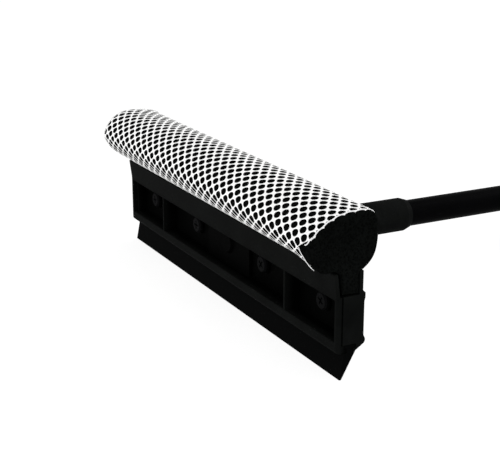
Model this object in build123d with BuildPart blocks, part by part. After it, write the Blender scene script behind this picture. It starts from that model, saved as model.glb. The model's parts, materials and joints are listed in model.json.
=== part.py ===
from build123d import *
import os

# Window squeegee: a net-covered sponge and a rubber blade, clamped in a two-piece
# moulded head on a telescopic handle.
# X runs along the head, Y from the head back along the handle, and Z is up.
# The origin is under the middle of the whole squeegee, level with the blade's wiping edge.

os.makedirs("parts", exist_ok=True)

# Head, seen from the end: depths from the front face, heights from the middle of the pockets
head_length = 300.0
head_depth = 18.0
pocket_height = 24.8
pocket_depth = 10.5
wall = 2.2
floor_wall = 1.9
plate = 3.3
seam = 0.9
fit_gap = 0.2
edge_round = 0.9
end_edge_bevel = 0.8

# Sponge channel along the top
bar_height = 16.1
bar_wall = 2.4
bar_lean = 1.8
channel_width = 12.2
channel_wall = 2.3
back_rise = 0.5
ledge = 0.6

# Head ends, pocket ribs and the raised pad in front of the neck
end_wall = 2.6
end_rim = 2.9
rib_wall = 2.0
rib_place = 90.0
pad_width = 60.0
pad_rise = 2.5
dome_room = 0.8
dome_rise = 1.6
rim_bevel = 0.4

# Clamp screws in the pockets
screw_places = (48.0, 121.0)
screw_height = 2.5
screw_radius = 1.9
screw_length = 7.8
screw_head_radius = 5.8
screw_head_height = 2.2
screw_head_bevel = 1.1
screw_room = 0.1
boss_radius = 6.5
boss_rise = 1.5
back_boss_radius = 5.0

# Rubber blade and the jaws that hold its T root
root_set = 9.4
root_width = 7.4
root_height = 2.2
throat_width = 4.0
jaw_lip = 2.2
jaw_swell = 1.1
lip_round = 2.5
jaw_round = 2.5
blade_front = 3.5
blade_back = 4.0
blade_reach = 15.8
tip_set = 2.8
tip_thickness = 1.2
blade_inset = 0.5

# Sponge roll and its net
sponge_front = 23.0
sponge_back = 26.0
belly_rise = 12.3
belly_height = 6.0
shoulder_set = 11.9
shoulder_rise = 38.1
back_shoulder = 35.7
back_flank = 12.5
belly_round = 5.0
front_round = 8.0
crown_round = 29.0
back_top_round = 9.0
back_low_round = 12.0
end_bevel = 2.0
net_thickness = 0.7
net_inset = 2.6

# Neck with the handle socket, and its webs
handle_rise = 3.6
neck_radius = 12.0
neck_length = 150.5
mouth_bevel = 4.5
mouth_wall = 0.9
flare = 5.0
flare_length = 9.0
socket_depth = 90.5
core_radius = 7.0
web_thickness = 4.0
web_width = 75.0
web_reach = 104.0
fin_reach = 62.0
fin_height = 9.0

# Neck screw
neck_screw_place = 118.0
neck_screw_radius = 1.7
neck_screw_head_radius = 3.4
neck_screw_head_height = 2.0
neck_screw_bite = 4.2
spot_depth = 0.8

# Tubes
tube_radius = 9.5
tube_wall = 0.8
inner_tube_length = 546.0
outer_tube_radius = 11.0
end_room = 12.0
press_gap = 0.05
run_gap = 0.05

# Guide bush on the hidden end of the inner tube
bush_plug = 18.0
bush_head = 12.0
bush_bore = 5.0

# Twist lock on the mouth of the outer tube
lock_gap = 107.5
finger_length = 26.0
finger_tip_wall = 1.75
finger_taper = 10.0
finger_slot = 2.0
shoulder = 4.0
sleeve_wall = 2.0
sleeve_length = 26.0
flange_length = 6.0
flange_rise = 2.5
collar_radius = 16.5
collar_length = 42.0
collar_nose = 4.0
collar_ring = 6.0
collar_gap = 0.3
collar_bevel = 1.2
scallop_count = 12
scallop_radius = 2.6
scallop_depth = 1.2

# Grip
grip_length = 130.0
grip_wall = 3.2
grip_flange = 1.8
grip_flange_length = 5.0
grip_bevel = 1.4
grip_ring = 8.0
flute_count = 12
flute_radius = 2.6
flute_depth = 1.1

# End cap with its hanging eye
cap_plug = 22.0
cap_flange = 4.0
eye_radius = 12.0
eye_thickness = 9.0
hang_hole_radius = 5.0

# Heights and depths that follow from the sizes above
pocket_half = pocket_height / 2
floor_top = pocket_half + wall
bar_top = pocket_half + bar_height
back_top = bar_top + back_rise
channel_back = bar_wall + channel_width
tray_depth = pocket_depth + floor_wall
pad_depth = pocket_depth - pad_rise
boss_depth = pocket_depth - boss_rise
dome_radius = pocket_half - handle_rise - dome_room
inner_back = head_depth - wall
half_length = head_length / 2
tray_end = half_length - end_wall - fit_gap
slot_top = -floor_top
slot_bottom = slot_top - root_height - 2 * fit_gap
jaw_bottom = slot_bottom - jaw_lip
slot_front = root_set - root_width / 2 - fit_gap
slot_back = root_set + root_width / 2 + fit_gap
throat_front = root_set - throat_width / 2 - fit_gap
throat_back = root_set + throat_width / 2 + fit_gap
jaw_back = head_depth + jaw_swell
jaw_slope = (slot_top - jaw_bottom) / (jaw_back - throat_back)
blade_top = jaw_bottom - fit_gap
blade_tip = blade_top - blade_reach

# Places along the handle, from the head's front face
inner_tube_front = neck_length - socket_depth
inner_tube_end = inner_tube_front + inner_tube_length
collar_front = neck_length + lock_gap
lock_place = collar_front + collar_nose
outer_tube_front = lock_place + finger_length + shoulder
outer_tube_end = inner_tube_end + bush_head + end_room + cap_plug
cap_back = outer_tube_end + cap_flange
eye_place = cap_back + eye_radius
handle_end = eye_place + eye_radius

# Radii about the handle's axis
socket_radius = tube_radius + press_gap
finger_radius = tube_radius + run_gap
outer_bore = outer_tube_radius - tube_wall
seat_radius = outer_tube_radius + press_gap
sleeve_radius = seat_radius + sleeve_wall
grip_radius = seat_radius + grip_wall

# Datum of the head: its front face, half-way up the pockets
head_y = (sponge_front - handle_end) / 2
panel_z = -blade_tip
axis_z = panel_z + handle_rise

section = Plane(origin=(0, head_y, panel_z), x_dir=(0, 1, 0), z_dir=(1, 0, 0))
front_face = Plane(origin=(0, head_y, panel_z), x_dir=(1, 0, 0), z_dir=(0, -1, 0))
handle_section = Plane(origin=(0, head_y, axis_z), x_dir=(0, 1, 0), z_dir=(1, 0, 0))
handle_axis = Axis((0, head_y, axis_z), (0, 1, 0))
screw_spots = [(side * place, screw_height) for side in (-1, 1) for place in screw_places]


def across_handle(along):
    """Plane square to the handle, at a distance behind the head's front face."""
    return Plane(origin=(0, head_y + along, axis_z), x_dir=(1, 0, 0), z_dir=(0, 1, 0))


def span(low, high):
    """Outline of a pocket, from one place along the head to another."""
    with Locations(((low + high) / 2, 0)):
        Rectangle(abs(high - low), pocket_height)


# Front half of the head: bar, pocket tray and front jaw
with BuildPart() as front_clamp:
    with BuildSketch(section):
        with BuildLine():
            FilletPolyline(
                (0, jaw_bottom),
                (throat_front, jaw_bottom),
                (throat_front, slot_bottom),
                (slot_front, slot_bottom),
                (slot_front, slot_top),
                (tray_depth, slot_top),
                (tray_depth, floor_top),
                (bar_wall, floor_top),
                (bar_wall - bar_lean, bar_top),
                (-bar_lean, bar_top),
                (0, floor_top),
                radius=[lip_round, 0, 0, 0, 0, 0, 0, 0, edge_round, edge_round, 0],
                close=True,
            )
        make_face()
    extrude(amount=half_length, both=True)
    # Front edges of the two ends
    end_faces = front_clamp.faces().filter_by(Axis.X)
    chamfer([e for e in end_faces.edges() if e.center().Y < head_y + bar_wall - bar_lean], end_edge_bevel)
    # Seats for the back half's end walls
    for side in (-1, 1):
        with BuildSketch(section.offset(side * tray_end)):
            with Locations(((plate + tray_depth) / 2, 0)):
                Rectangle(tray_depth - plate, 2 * floor_top)
        extrude(amount=side * (end_wall + fit_gap), mode=Mode.SUBTRACT)
    # Pockets: the middle one is shallower over the pad, and the outer two widen behind the rim
    rib_in = rib_place - rib_wall / 2
    rib_out = rib_place + rib_wall / 2
    with BuildSketch(front_face):
        span(-rib_in, rib_in)
    extrude(amount=-pad_depth, mode=Mode.SUBTRACT)
    with BuildSketch(front_face):
        for side in (-1, 1):
            span(side * pad_width / 2, side * rib_in)
            span(side * rib_out, side * (tray_end - wall))
    extrude(amount=-pocket_depth, mode=Mode.SUBTRACT)
    with BuildSketch(front_face):
        for side in (-1, 1):
            span(side * rib_out, side * (half_length - end_rim))
    extrude(amount=-plate, mode=Mode.SUBTRACT)
    chamfer(front_clamp.faces().filter_by(front_face).sort_by(Axis.Y)[0].inner_wires().edges(), rim_bevel)
    # Low dome on the pad, in line with the neck
    with BuildSketch(front_face.offset(-pad_depth)):
        with Locations((0, handle_rise)):
            Circle(dome_radius)
    extrude(amount=dome_rise, taper=45)
    # Screw bosses and their holes
    with BuildSketch(front_face.offset(-pocket_depth)):
        with Locations(*screw_spots):
            Circle(boss_radius)
    extrude(amount=boss_rise)
    with BuildSketch(front_face.offset(-boss_depth)):
        with Locations(*screw_spots):
            Circle(screw_radius + screw_room)
    extrude(amount=-(boss_rise + floor_wall), mode=Mode.SUBTRACT)
front_clamp.part.label = "front_clamp"
export_step(front_clamp.part, "parts/front_clamp.step")

# Back half of the head, with the neck that takes the handle
with BuildPart() as head_body:
    with BuildSketch(section):
        with BuildLine():
            FilletPolyline(
                (channel_back, back_top),
                (channel_back + channel_wall, back_top),
                (channel_back + channel_wall, floor_top + channel_wall),
                (head_depth + ledge, floor_top + ledge),
                (head_depth + ledge, pocket_half),
                (head_depth, pocket_half - wall),
                (head_depth, slot_top + 2 * wall),
                (jaw_back, slot_top + wall),
                (jaw_back, slot_top),
                (throat_back, jaw_bottom),
                (throat_back, slot_bottom),
                (slot_back, slot_bottom),
                (slot_back, slot_top),
                (tray_depth + fit_gap, slot_top),
                (tray_depth + fit_gap, -pocket_half),
                (inner_back, -pocket_half),
                (inner_back, pocket_half),
                (tray_depth + fit_gap, pocket_half),
                (tray_depth + fit_gap, floor_top),
                (channel_back, floor_top),
                radius=[edge_round, edge_round] + 6 * [0] + [jaw_round] + 11 * [0],
                close=True,
            )
        make_face()
    extrude(amount=half_length, both=True)
    for side in (-1, 1):
        with BuildSketch(section.offset(side * (half_length - end_wall))):
            with Locations(((plate + seam + head_depth) / 2, fit_gap / 2)):
                Rectangle(head_depth - plate - seam, 2 * floor_top - fit_gap)
        extrude(amount=side * end_wall)
    with BuildSketch(front_face.offset(-tray_depth)):
        with Locations(*screw_spots):
            Circle(back_boss_radius)
    extrude(amount=tray_depth - inner_back)
    # Neck, flared where it leaves the back wall
    with BuildSketch(handle_section):
        with BuildLine():
            Polyline(
                (inner_back, 0),
                (inner_back, neck_radius + flare),
                (head_depth, neck_radius + flare),
                (head_depth + flare_length, neck_radius),
                (neck_length - mouth_bevel, neck_radius),
                (neck_length, socket_radius + mouth_wall),
                (neck_length, 0),
                close=True,
            )
        make_face()
    revolve(axis=handle_axis)
    # Level webs from the head to the neck, and an upright fin above and below it
    with BuildSketch(Plane(origin=(0, head_y, axis_z))):
        for side in (-1, 1):
            with BuildLine():
                Polyline(
                    (side * web_width, head_depth - wall / 2),
                    (0, head_depth - wall / 2),
                    (0, web_reach),
                    (side * neck_radius, web_reach),
                )
                ThreePointArc(
                    (side * neck_radius, web_reach),
                    (side * (neck_radius + 0.25 * web_width), 0.55 * head_depth + 0.45 * web_reach),
                    (side * web_width, head_depth - wall / 2),
                )
            make_face()
    extrude(amount=web_thickness / 2, both=True)
    with BuildSketch(handle_section):
        with BuildLine():
            Polyline(
                (head_depth - wall / 2, neck_radius + fin_height),
                (head_depth + ledge, neck_radius + fin_height),
                (fin_reach, neck_radius - wall / 2),
                (fin_reach, wall / 2 - neck_radius),
                (head_depth + ledge, -neck_radius - fin_height),
                (head_depth - wall / 2, -neck_radius - fin_height),
                close=True,
            )
        make_face()
    extrude(amount=web_thickness / 2, both=True)
    # Socket for the tube, cored out ahead of it
    with BuildSketch(across_handle(neck_length)):
        Circle(socket_radius)
    extrude(amount=-socket_depth, mode=Mode.SUBTRACT)
    with BuildSketch(across_handle(inner_tube_front)):
        Circle(core_radius)
    extrude(amount=head_depth + wall - inner_tube_front, mode=Mode.SUBTRACT)
    # Pilot holes for the clamp screws, and the neck screw's hole with its flat seat
    with BuildSketch(front_face.offset(-tray_depth)):
        with Locations(*screw_spots):
            Circle(screw_radius + screw_room)
    extrude(amount=-(screw_length - boss_rise - floor_wall + screw_room), mode=Mode.SUBTRACT)
    neck_screw_plane = Plane(
        origin=(0, head_y + neck_screw_place, axis_z - neck_radius), x_dir=(1, 0, 0), z_dir=(0, 0, 1)
    )
    with BuildSketch(neck_screw_plane):
        Circle(neck_screw_head_radius + fit_gap)
    extrude(amount=spot_depth, mode=Mode.SUBTRACT)
    with BuildSketch(neck_screw_plane):
        Circle(neck_screw_radius + screw_room)
    extrude(amount=neck_radius - tube_radius + tube_wall, mode=Mode.SUBTRACT)
head_body.part.label = "head_body"
export_step(head_body.part, "parts/head_body.step")

# Clamp screws: broad heads on the pocket bosses
with BuildPart() as clamp_screws:
    with BuildSketch(front_face.offset(-boss_depth)):
        with Locations(*screw_spots):
            Circle(screw_head_radius)
    extrude(amount=screw_head_height)
    chamfer(clamp_screws.faces().filter_by(front_face).group_by(Axis.Y)[0].edges(), screw_head_bevel)
    with BuildSketch(front_face.offset(-boss_depth)):
        with Locations(*screw_spots):
            Circle(screw_radius)
    extrude(amount=-screw_length)
clamp_screws.part.label = "clamp_screws"
export_step(clamp_screws.part, "parts/clamp_screws.step")

# Rubber blade: T root in the jaws, then a wedge that thins to the wiping edge
with BuildPart() as rubber_blade:
    with BuildSketch(section):
        root_top = slot_top - fit_gap
        root_low = root_top - root_height
        throat_edge = root_set + throat_width / 2
        back_edge = root_set + blade_back
        with BuildLine():
            Polyline(
                (tip_set, blade_tip),
                (root_set - blade_front, blade_top),
                (root_set - throat_width / 2, blade_top),
                (root_set - throat_width / 2, root_low),
                (root_set - root_width / 2, root_low),
                (root_set - root_width / 2, root_top),
                (root_set + root_width / 2, root_top),
                (root_set + root_width / 2, root_low),
                (throat_edge, root_low),
                (throat_edge, blade_top + jaw_slope * (throat_edge - throat_back)),
                (back_edge, blade_top + jaw_slope * (back_edge - throat_back)),
                (tip_set + tip_thickness, blade_tip),
                close=True,
            )
        make_face()
    extrude(amount=half_length - blade_inset, both=True)
rubber_blade.part.label = "rubber_blade"
export_step(rubber_blade.part, "parts/rubber_blade.step")

# Outline of the net in section: hems in the channel, belly, sloping shoulder and back above it
net_outline = [
    (bar_wall + fit_gap, floor_top + fit_gap),
    (bar_wall - bar_lean + fit_gap, bar_top + fit_gap),
    (-sponge_front, bar_top + belly_rise),
    (-sponge_front, bar_top + belly_rise + belly_height),
    (shoulder_set - sponge_front, bar_top + shoulder_rise),
    (sponge_back, bar_top + back_shoulder),
    (sponge_back, back_top + back_flank),
    (channel_back - fit_gap, back_top + fit_gap),
    (channel_back - fit_gap, floor_top + fit_gap),
]
net_rounds = [0, 0, belly_round, front_round, crown_round, back_top_round, back_low_round, 0, 0]

# Sponge: foam roll, its cut ends eased
with BuildPart() as sponge:
    with BuildSketch(section):
        with BuildLine():
            FilletPolyline(*net_outline, radius=net_rounds, close=True)
        make_face()
        offset(amount=-net_thickness, kind=Kind.INTERSECTION)
    extrude(amount=half_length, both=True)
    chamfer(sponge.faces().filter_by(Axis.X).edges(), end_bevel)
sponge.part.label = "sponge"
export_step(sponge.part, "parts/sponge.step")

# Net sleeve round the sponge
with BuildPart() as net_cover:
    with BuildSketch(section):
        with BuildLine():
            FilletPolyline(*net_outline, radius=net_rounds, close=True)
        make_face()
        offset(amount=-net_thickness, kind=Kind.INTERSECTION, mode=Mode.SUBTRACT)
    extrude(amount=half_length - net_inset, both=True)
net_cover.part.label = "net_cover"
export_step(net_cover.part, "parts/net_cover.step")

# Inner tube, pressed into the neck
with BuildPart() as inner_tube:
    with BuildSketch(across_handle(inner_tube_front)):
        Circle(tube_radius)
        Circle(tube_radius - tube_wall, mode=Mode.SUBTRACT)
    extrude(amount=inner_tube_length)
    with BuildSketch(neck_screw_plane):
        Circle(neck_screw_radius + screw_room)
    extrude(amount=neck_radius, mode=Mode.SUBTRACT)
inner_tube.part.label = "inner_tube"
export_step(inner_tube.part, "parts/inner_tube.step")

# Neck screw, driven up through the neck into the tube
with BuildPart() as neck_screw:
    with BuildSketch(neck_screw_plane.offset(spot_depth)):
        Circle(neck_screw_head_radius)
    extrude(amount=-neck_screw_head_height)
    with BuildSketch(neck_screw_plane.offset(spot_depth)):
        Circle(neck_screw_radius)
    extrude(amount=neck_screw_bite)
neck_screw.part.label = "neck_screw"
export_step(neck_screw.part, "parts/neck_screw.step")

# Guide bush: plugged into the inner tube, running in the outer one
with BuildPart() as guide_bush:
    with BuildSketch(across_handle(inner_tube_end)):
        Circle(tube_radius - tube_wall - press_gap)
    extrude(amount=-bush_plug)
    with BuildSketch(across_handle(inner_tube_end)):
        Circle(outer_bore - run_gap)
    extrude(amount=bush_head)
    with BuildSketch(across_handle(inner_tube_end + bush_head)):
        Circle(bush_bore)
    extrude(amount=-(bush_head + bush_plug), mode=Mode.SUBTRACT)
guide_bush.part.label = "guide_bush"
export_step(guide_bush.part, "parts/guide_bush.step")

# Outer tube
with BuildPart() as outer_tube:
    with BuildSketch(across_handle(outer_tube_front)):
        Circle(outer_tube_radius)
        Circle(outer_bore, mode=Mode.SUBTRACT)
    extrude(amount=outer_tube_end - outer_tube_front)
outer_tube.part.label = "outer_tube"
export_step(outer_tube.part, "parts/outer_tube.step")

# Collet: sleeve on the outer tube, with four springy fingers round the inner tube
with BuildPart() as lock_collet:
    with BuildSketch(handle_section):
        sleeve_end = outer_tube_front + sleeve_length
        with BuildLine():
            Polyline(
                (lock_place, finger_radius),
                (lock_place, finger_radius + finger_tip_wall),
                (lock_place + finger_taper, sleeve_radius),
                (sleeve_end - flange_length, sleeve_radius),
                (sleeve_end - flange_length, sleeve_radius + flange_rise),
                (sleeve_end, sleeve_radius + flange_rise),
                (sleeve_end, seat_radius),
                (outer_tube_front, seat_radius),
                (outer_tube_front, finger_radius),
                close=True,
            )
        make_face()
    revolve(axis=handle_axis)
    with BuildSketch(across_handle(lock_place)):
        with PolarLocations(0, 2, angular_range=180):
            Rectangle(4 * sleeve_radius, finger_slot)
    extrude(amount=finger_length - shoulder, mode=Mode.SUBTRACT)
lock_collet.part.label = "lock_collet"
export_step(lock_collet.part, "parts/lock_collet.step")

# Twist collar: scalloped outside, tapered inside to close the fingers
with BuildPart() as lock_collar:
    with BuildSketch(handle_section):
        collar_back = collar_front + collar_length
        with BuildLine():
            Polyline(
                (collar_front, finger_radius + collar_gap),
                (collar_front, collar_radius - collar_bevel),
                (collar_front + collar_bevel, collar_radius),
                (collar_back, collar_radius),
                (collar_back, sleeve_radius + collar_gap),
                (lock_place + finger_taper - collar_gap, sleeve_radius + collar_gap),
                (lock_place - collar_gap, finger_radius + finger_tip_wall + collar_gap),
                (lock_place - collar_gap, finger_radius + collar_gap),
                close=True,
            )
        make_face()
    revolve(axis=handle_axis)
    with BuildSketch(across_handle(collar_front + collar_ring)):
        with PolarLocations(collar_radius + scallop_radius - scallop_depth, scallop_count):
            Circle(scallop_radius)
    extrude(amount=collar_length - 2 * collar_ring, mode=Mode.SUBTRACT)
lock_collar.part.label = "lock_collar"
export_step(lock_collar.part, "parts/lock_collar.step")

# Grip: fluted sleeve with a bevelled flange at its front
with BuildPart() as grip:
    grip_front = outer_tube_end - grip_length
    flute_front = grip_front + grip_flange_length + grip_flange + grip_ring
    with BuildSketch(handle_section):
        with BuildLine():
            Polyline(
                (grip_front, seat_radius),
                (grip_front, grip_radius + grip_flange - grip_bevel),
                (grip_front + grip_bevel, grip_radius + grip_flange),
                (grip_front + grip_flange_length, grip_radius + grip_flange),
                (grip_front + grip_flange_length + grip_flange, grip_radius),
                (outer_tube_end, grip_radius),
                (outer_tube_end, seat_radius),
                close=True,
            )
        make_face()
    revolve(axis=handle_axis)
    with BuildSketch(across_handle(flute_front)):
        with PolarLocations(grip_radius + flute_radius - flute_depth, flute_count):
            Circle(flute_radius)
    extrude(amount=outer_tube_end - grip_ring - flute_front, mode=Mode.SUBTRACT)
grip.part.label = "grip"
export_step(grip.part, "parts/grip.step")

# End cap: plug, flange and flat hanging eye
with BuildPart() as end_cap:
    with BuildSketch(across_handle(outer_tube_end)):
        Circle(outer_bore - press_gap)
    extrude(amount=-cap_plug)
    with BuildSketch(across_handle(outer_tube_end)):
        Circle(grip_radius)
    extrude(amount=cap_flange)
    with BuildSketch(handle_section):
        with Locations((eye_place, 0)):
            Circle(eye_radius)
        with Locations(((outer_tube_end + eye_place) / 2, 0)):
            Rectangle(eye_place - outer_tube_end, 2 * eye_radius)
        with Locations((eye_place, 0)):
            Circle(hang_hole_radius, mode=Mode.SUBTRACT)
    extrude(amount=eye_thickness / 2, both=True)
end_cap.part.label = "end_cap"
export_step(end_cap.part, "parts/end_cap.step")

print("length", sponge_front + handle_end, "height", net_cover.part.bounding_box().max.Z)
print("head front", head_y, "pocket middle", panel_z, "handle axis", axis_z, "hanging eye", head_y + eye_place)
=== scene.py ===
# %% [markdown]
# # A window cleaning squeegee, dressed for its picture
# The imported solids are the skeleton: every hard piece of the squeegee is already there, in metres, in its
# place. This lesson gives each of them a finish, and makes again the pieces that a plain solid can't show:
# the sponge, the white net that is pulled over it, and the cross slots of the screws.

# %% Load the solids
import json
import math

import bmesh
import bpy
import numpy as np
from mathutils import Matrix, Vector

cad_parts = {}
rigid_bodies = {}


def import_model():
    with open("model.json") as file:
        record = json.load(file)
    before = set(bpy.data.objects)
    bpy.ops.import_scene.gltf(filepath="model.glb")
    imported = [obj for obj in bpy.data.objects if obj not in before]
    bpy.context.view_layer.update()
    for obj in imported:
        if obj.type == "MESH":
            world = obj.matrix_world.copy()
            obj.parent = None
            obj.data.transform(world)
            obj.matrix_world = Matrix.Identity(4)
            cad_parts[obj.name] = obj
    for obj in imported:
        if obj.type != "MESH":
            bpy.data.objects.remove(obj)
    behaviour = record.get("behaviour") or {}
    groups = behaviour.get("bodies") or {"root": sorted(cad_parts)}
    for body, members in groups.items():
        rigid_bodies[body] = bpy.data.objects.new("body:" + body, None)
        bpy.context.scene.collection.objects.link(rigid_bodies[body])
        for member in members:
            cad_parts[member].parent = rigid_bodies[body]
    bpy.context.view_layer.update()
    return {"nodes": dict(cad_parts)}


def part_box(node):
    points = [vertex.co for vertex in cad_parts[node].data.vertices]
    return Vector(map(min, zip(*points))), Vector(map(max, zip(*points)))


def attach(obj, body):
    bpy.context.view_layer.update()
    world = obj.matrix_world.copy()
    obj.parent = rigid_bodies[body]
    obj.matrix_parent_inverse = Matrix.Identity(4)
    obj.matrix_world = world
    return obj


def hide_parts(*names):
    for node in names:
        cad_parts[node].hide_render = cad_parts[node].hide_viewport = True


for leftover in list(bpy.data.objects):
    bpy.data.objects.remove(leftover)
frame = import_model()
nodes = frame["nodes"]
scene = bpy.context.scene
MM = 0.001

# %% [markdown]
# ## The camera
# The picture was taken from above the right end of the head with a fairly long lens, so the rows of pockets
# draw together only a little. The angles, the distance and the lens were found by laying the solid's edges
# over the picture until they met, which is surer than setting a camera by eye.

# %% Camera
AZIMUTH = math.radians(62.3)
ELEVATION = math.radians(17.5)
CAMERA_TARGET = Vector((-0.0204, -0.2934, 0.0354))
CAMERA_DISTANCE = 0.7995
LENS_MM = 83.016
SENSOR_MM = 36.0

towards_camera = Vector((
    math.sin(AZIMUTH) * math.cos(ELEVATION),
    -math.cos(AZIMUTH) * math.cos(ELEVATION),
    math.sin(ELEVATION),
))
camera_data = bpy.data.cameras.new("picture_camera")
camera_data.lens = LENS_MM
camera_data.sensor_fit = "HORIZONTAL"
camera_data.sensor_width = SENSOR_MM
camera = bpy.data.objects.new("picture_camera", camera_data)
camera.location = CAMERA_TARGET + towards_camera * CAMERA_DISTANCE
camera.rotation_euler = towards_camera.to_track_quat("Z", "Y").to_euler()
scene.collection.objects.link(camera)
scene.camera = camera
print("camera at", [round(v, 3) for v in camera.location])

# %% [markdown]
# ## Node helpers
# Shaders and Geometry Nodes are both trees of nodes. A few small helpers keep the trees short to read: one
# adds a node and fills its inputs with numbers or with other nodes' outputs, and the others do one step of
# arithmetic and bring a number to another range.

# %% Node helpers
def add(tree, kind, inputs=None, **settings):
    """Adds a node, sets it up, and fills its inputs with plain values or with other nodes' sockets."""
    item = tree.nodes.new(kind)
    for key, value in settings.items():
        setattr(item, key, value)
    for key, value in (inputs or {}).items():
        if isinstance(value, bpy.types.NodeSocket):
            tree.links.new(value, item.inputs[key])
        else:
            item.inputs[key].default_value = value
    return item


def calc(tree, operation, first, second=0.0):
    """One step of arithmetic on numbers."""
    return add(tree, "ShaderNodeMath", {0: first, 1: second}, operation=operation).outputs[0]


def ramp(tree, value, low, high, first=0.0, last=1.0):
    """Goes from the first number to the last while the value goes from low to high, and stops there."""
    return add(tree, "ShaderNodeMapRange", {0: value, 1: low, 2: high, 3: first, 4: last}).outputs[0]


# %% [markdown]
# ## Floor, world and light
# A product picture like this one is taken in a white tent: light comes softly from everywhere, and the
# ground is lost in white. The world and the floor are plain white to the camera and to reflections, while
# the light that falls on the squeegee stays at a plain level. The floor keeps a share of ordinary shading,
# so that a faint shadow still lies under the blade.

# %% World
WORLD_LEVEL = 0.83
WHITE = (1.0, 1.0, 1.0, 1.0)


def seen_directly(tree):
    """1 for camera, reflected and refracted rays, 0 for the light that falls on things."""
    path = add(tree, "ShaderNodeLightPath")
    seen = calc(tree, "MAXIMUM", path.outputs["Is Camera Ray"], path.outputs["Is Glossy Ray"])
    return calc(tree, "MAXIMUM", seen, path.outputs["Is Transmission Ray"])


world = bpy.data.worlds.new("white_tent")
scene.world = world
world.use_nodes = True
tent = world.node_tree
tent.nodes.clear()
level = ramp(tent, seen_directly(tent), 0.0, 1.0, WORLD_LEVEL, 1.0)
tent_light = add(tent, "ShaderNodeBackground", {"Color": WHITE, "Strength": level})
add(tent, "ShaderNodeOutputWorld", {"Surface": tent_light.outputs[0]})
print("world level on the squeegee:", WORLD_LEVEL)

# %% Floor
FLOOR_HALF = 6.0
FLOOR_PALE = (0.8, 0.8, 0.8, 1.0)
FLOOR_GLOW = 0.86
FLOOR_SHADED = (0.2, 0.2, 0.2, 1.0)

floor_mesh = bpy.data.meshes.new("floor")
corners = [(x * FLOOR_HALF, y * FLOOR_HALF, 0.0) for x, y in ((-1, -1), (1, -1), (1, 1), (-1, 1))]
floor_mesh.from_pydata(corners, [], [(0, 1, 2, 3)])
floor = bpy.data.objects.new("floor", floor_mesh)
scene.collection.objects.link(floor)
floor_finish = bpy.data.materials.new("pale_floor")
floor_finish.use_nodes = True
tree = floor_finish.node_tree
tree.nodes.clear()
plain = add(tree, "ShaderNodeBsdfDiffuse", {"Color": FLOOR_PALE})
shaded = add(tree, "ShaderNodeBsdfDiffuse", {"Color": FLOOR_SHADED})
glow = add(tree, "ShaderNodeEmission", {"Color": WHITE, "Strength": FLOOR_GLOW})
shown = add(tree, "ShaderNodeAddShader", {0: shaded.outputs[0], 1: glow.outputs[0]})
mixed = add(tree, "ShaderNodeMixShader", {0: seen_directly(tree), 1: plain.outputs[0], 2: shown.outputs[0]})
add(tree, "ShaderNodeOutputMaterial", {"Surface": mixed.outputs[0]})
floor_mesh.materials.append(floor_finish)
print("floor is", 2 * FLOOR_HALF, "m wide")

# %% Lamps
LIGHT_AIM = Vector((0.0, -0.25, 0.05))
# Where each lamp stands, how wide and deep it is, and its watts
LAMPS = {
    "softbox_front": ((-0.3, -1.6, 0.22), (0.9, 0.9), 5.8),
    "softbox_right": ((1.6, -0.5, 0.8), (1.0, 1.0), 6.5),
    "softbox_back": ((0.2, 1.4, 0.9), (1.2, 1.2), 20.0),
    "low_card": ((-0.02, -0.68, 0.02), (0.5, 0.2), 0.45),
}
for name, (place, (width, depth), watts) in LAMPS.items():
    lamp_data = bpy.data.lights.new(name, "AREA")
    lamp_data.shape = "RECTANGLE"
    lamp_data.size = width
    lamp_data.size_y = depth
    lamp_data.energy = watts
    lamp = bpy.data.objects.new(name, lamp_data)
    lamp.location = place
    lamp.rotation_euler = (Vector(place) - LIGHT_AIM).to_track_quat("Z", "Y").to_euler()
    scene.collection.objects.link(lamp)
scene.view_settings.view_transform = "Standard"
print("lamps:", ", ".join(LAMPS))

# %% [markdown]
# ## Shared effects
# Nearly every finish here is black, and black pieces are told apart by their surface: the fine grain of a
# mould, cloudy patches, and the rubbed places that handling leaves. Grain and rubbing are shader groups,
# built once and placed in each finish with its own values. They only put out masks and heights, and the
# shader itself stays in the material.

# %% Grain group
def new_group(name, takes, gives):
    """An empty shader group with named number sockets. Its first input is always the place on the surface."""
    group = bpy.data.node_groups.new(name, "ShaderNodeTree")
    group.interface.new_socket("Place", in_out="INPUT", socket_type="NodeSocketVector")
    for label, value in takes.items():
        socket = group.interface.new_socket(label, in_out="INPUT", socket_type="NodeSocketFloat")
        socket.default_value = value
    for label in gives:
        group.interface.new_socket(label, in_out="OUTPUT", socket_type="NodeSocketFloat")
    return group, add(group, "NodeGroupInput").outputs


FINE_SHARE, PIT_SHARE = 0.6, 0.4
PITS_PER_GRAIN = 0.7
CLOUD_EDGES = (0.3, 0.7)

grain, given = new_group(
    "fine_grain", {"Grains per metre": 2000.0, "Clouds per metre": 40.0}, ["Height", "Clouds"])
fine = add(grain, "ShaderNodeTexNoise", {
    "Vector": given["Place"], "Scale": given["Grains per metre"], "Detail": 3.0, "Roughness": 0.55})
pits = add(grain, "ShaderNodeTexVoronoi", {
    "Vector": given["Place"], "Scale": calc(grain, "MULTIPLY", given["Grains per metre"], PITS_PER_GRAIN)})
clouds = add(grain, "ShaderNodeTexNoise", {
    "Vector": given["Place"], "Scale": given["Clouds per metre"], "Detail": 5.0, "Roughness": 0.6})
height = calc(grain, "ADD", calc(grain, "MULTIPLY", fine.outputs[0], FINE_SHARE),
              calc(grain, "MULTIPLY", pits.outputs["Distance"], PIT_SHARE))
add(grain, "NodeGroupOutput", {"Height": height, "Clouds": ramp(grain, clouds.outputs[0], *CLOUD_EDGES)})
print("group", grain.name, "made")

# %% Rubbed places group
PATCHES_PER_METRE = 22.0
PATCH_EDGES, STREAK_EDGES = (0.5, 0.72), (0.52, 0.7)

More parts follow.
